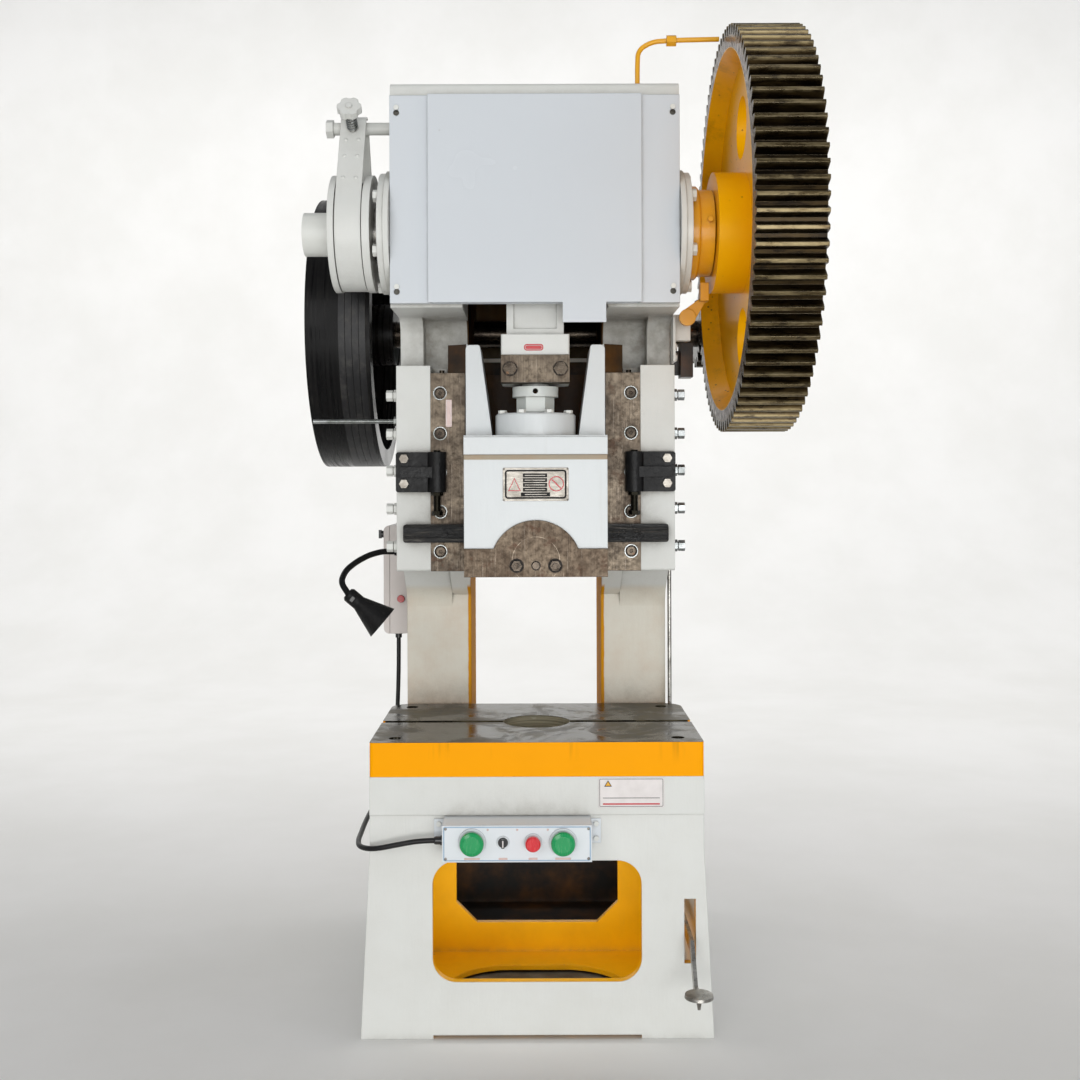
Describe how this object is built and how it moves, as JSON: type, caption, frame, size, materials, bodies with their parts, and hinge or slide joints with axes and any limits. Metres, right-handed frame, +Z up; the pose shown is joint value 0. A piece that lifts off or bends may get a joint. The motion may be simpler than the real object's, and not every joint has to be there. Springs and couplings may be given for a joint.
{
  "type": "mechanical stamping press",
  "caption": "Open-back C-frame stamping press: crank-driven ram in V-guides, bolster with slug hole, band brake, flywheel, open side gear train, foot pedal and two-hand control box.",
  "frame": {"origin": "on the floor under the ram's axis, at the middle of the front four anchor holes", "axes": "+X to the right seen from the front, +Y from the front to the back, +Z up along the ram's travel"},
  "size_m": [1.164, 1.595, 2.1782],
  "materials": {
    "frame_paint": "satin",
    "cover_paint": "satin",
    "amber_paint": "gloss",
    "bolster_steel": "oiled",
    "guide_iron": "scraped",
    "machined_steel": "satin",
    "black_paint": "textured",
    "gear_iron": "oily",
    "bronze": "satin",
    "zinc": "dull",
    "belt_rubber": "matt",
    "cable_rubber": "satin",
    "lining": "matt",
    "cabinet_paint": "satin",
    "control_paint": "satin",
    "green_plastic": "gloss",
    "red_plastic": "gloss",
    "black_plastic": "gloss",
    "bulb_glass": "clear",
    "motor_paint": "satin"
  },
  "bodies": {
    "frame": {"pedestal": "frame_paint", "c_frame": "frame_paint", "bolster_plate": "bolster_steel", "head_cover": "cover_paint", "bearing_bushes": "machined_steel", "left_gib": "guide_iron", "right_gib": "guide_iron", "stop_brackets": "black_paint", "frame_bolts": "zinc", "socket_screws": "machined_steel", "adjuster_screws": "zinc", "guard_rod": "frame_paint", "oil_pipe": "amber_paint", "brake_band": "frame_paint", "brake_lining": "lining", "brake_stud": "frame_paint", "brake_spring": "machined_steel", "motor_shelf": "frame_paint", "motor": "motor_paint", "drive_belts": "belt_rubber", "trip_bracket": "amber_paint", "control_box": "control_paint", "control_panel": "control_paint", "cable_glands": "black_plastic", "control_cable": "cable_rubber", "cabinet_body": "cabinet_paint", "lamp_stand": "black_plastic", "lamp_shade": "black_plastic", "lamp_bulb": "bulb_glass"},
    "crank": {"crankshaft": "machined_steel", "crank_pin_bush": "bronze", "crank_rings": "machined_steel", "brake_drum": "guide_iron"},
    "conrod": {"connecting_rod": "cover_paint", "clamp_cap": "guide_iron", "clamp_bolts": "zinc"},
    "ram": {"ram": "cover_paint", "ball_gland": "machined_steel", "ram_bolts": "zinc", "shank_clamp": "guide_iron"},
    "height_screw": {"adjusting_screw": "machined_steel"},
    "knockout": {"knockout_bar": "black_paint"},
    "gear": {"bull_gear": "gear_iron"},
    "pinion_line": {"pinion": "gear_iron", "pinion_shaft": "machined_steel", "flywheel": "black_paint"},
    "motor_rotor": {"motor_pulley": "machined_steel"},
    "trip": {"trip_lever": "amber_paint"},
    "plunger": {"solenoid_plunger": "machined_steel"},
    "pull": {"pull_rod": "machined_steel"},
    "pedal": {"pedal_lever": "frame_paint"},
    "left_palm": {"left_palm_button": "green_plastic"},
    "right_palm": {"right_palm_button": "green_plastic"},
    "stop": {"stop_button": "red_plastic"},
    "selector": {"selector_knob": "black_plastic"},
    "brake_adjuster": {"brake_screw": "frame_paint"},
    "door": {"cabinet_door": "cabinet_paint"},
    "latch": {"door_latch_knob": "black_plastic"},
    "cabinet_push": {"cabinet_button": "red_plastic"},
    "lamp_push": {"lamp_switch": "cover_paint"}
  },
  "joints": [
    {"name": "crank_turn", "type": "hinge", "parent": "frame", "child": "crank", "pos_m": [0, 0, 1.728], "axis": [-1, 0, 0], "range_deg": [0, 180]},
    {"name": "rod_slide", "type": "slide", "parent": "frame", "child": "conrod", "axis": [0, 0, 1], "range_m": [-0.1001, 0]},
    {"name": "height_adjust", "type": "slide", "parent": "conrod", "child": "ram", "axis": [0, 0, 1], "range_m": [-0.0401, 0.0041]},
    {"name": "screw_turn", "type": "hinge", "parent": "ram", "child": "height_screw", "pos_m": [0, 0, 1.4], "axis": [0, 0, 1], "range_deg": [-1800, 180]},
    {"name": "knockout_lift", "type": "slide", "parent": "ram", "child": "knockout", "axis": [0, 0, 1], "range_m": [0, 0.019]},
    {"name": "gear_spin", "type": "hinge", "parent": "frame", "child": "gear", "pos_m": [0.5, 0, 1.728], "axis": [1, 0, 0], "continuous": true},
    {"name": "pinion_spin", "type": "hinge", "parent": "frame", "child": "pinion_line", "pos_m": [0.5, 0.491, 1.557], "axis": [1, 0, 0], "continuous": true},
    {"name": "motor_spin", "type": "hinge", "parent": "frame", "child": "motor_rotor", "pos_m": [-0.4, 0.97, 1.557], "axis": [1, 0, 0], "continuous": true},
    {"name": "pedal_press", "type": "hinge", "parent": "frame", "child": "pedal", "pos_m": [0.32, 0.33, 0.205], "axis": [1, 0, 0], "range_deg": [0, 2.45], "stiffness_Nm_per_rad": 150, "springref_deg": -6.88},
    {"name": "pull_down", "type": "slide", "parent": "frame", "child": "pull", "axis": [0, 0, 1], "range_m": [-0.00377, 0]},
    {"name": "trip_turn", "type": "hinge", "parent": "frame", "child": "trip", "pos_m": [0.346, 0.1, 1.538], "axis": [0, -1, 0], "range_deg": [0, 12]},
    {"name": "plunger_lift", "type": "slide", "parent": "frame", "child": "plunger", "axis": [0, 0, 1], "range_m": [0, 0.0043]},
    {"name": "left_palm_press", "type": "slide", "parent": "frame", "child": "left_palm", "axis": [0, 1, 0], "range_m": [0, 0.004], "stiffness_N_per_m": 600, "springref_m": -0.004},
    {"name": "right_palm_press", "type": "slide", "parent": "frame", "child": "right_palm", "axis": [0, 1, 0], "range_m": [0, 0.004], "stiffness_N_per_m": 600, "springref_m": -0.004},
    {"name": "stop_press", "type": "slide", "parent": "frame", "child": "stop", "axis": [0, 1, 0], "range_m": [0, 0.004]},
    {"name": "selector_turn", "type": "hinge", "parent": "frame", "child": "selector", "pos_m": [-0.069, -0.3, 0.434], "axis": [0, 1, 0], "range_deg": [-45, 45]},
    {"name": "brake_adjust", "type": "hinge", "parent": "frame", "child": "brake_adjuster", "pos_m": [-0.4075, -0.08, 1.985], "axis": [0, 0.866, -0.5], "range_deg": [-180, 180]},
    {"name": "door_swing", "type": "hinge", "parent": "frame", "child": "door", "pos_m": [-0.376, 0.706, 0.9], "axis": [0, 0, -1], "range_deg": [0, 110]},
    {"name": "latch_turn", "type": "hinge", "parent": "door", "child": "latch", "pos_m": [-0.394, 0.43, 1.03], "axis": [1, 0, 0], "range_deg": [0, 90]},
    {"name": "cabinet_press", "type": "slide", "parent": "frame", "child": "cabinet_push", "axis": [0, 1, 0], "range_m": [0, 0.004], "stiffness_N_per_m": 300, "springref_m": -0.004},
    {"name": "lamp_press", "type": "slide", "parent": "frame", "child": "lamp_push", "axis": [0, 1, 0], "range_m": [0, 0.002]}
  ],
  "couplings": [
    {"joint": "rod_slide", "follows": "crank_turn", "m_per_rad": -0.031831},
    {"joint": "height_adjust", "follows": "screw_turn", "m_per_rad": 0.0012732},
    {"joint": "pinion_spin", "follows": "gear_spin", "ratio": -5.5},
    {"joint": "motor_spin", "follows": "gear_spin", "ratio": -24.365},
    {"joint": "pull_down", "follows": "pedal_press", "m_per_rad": -0.088},
    {"joint": "trip_turn", "follows": "pedal_press", "ratio": 4.8889},
    {"joint": "plunger_lift", "follows": "pedal_press", "m_per_rad": 0.097778}
  ]
}
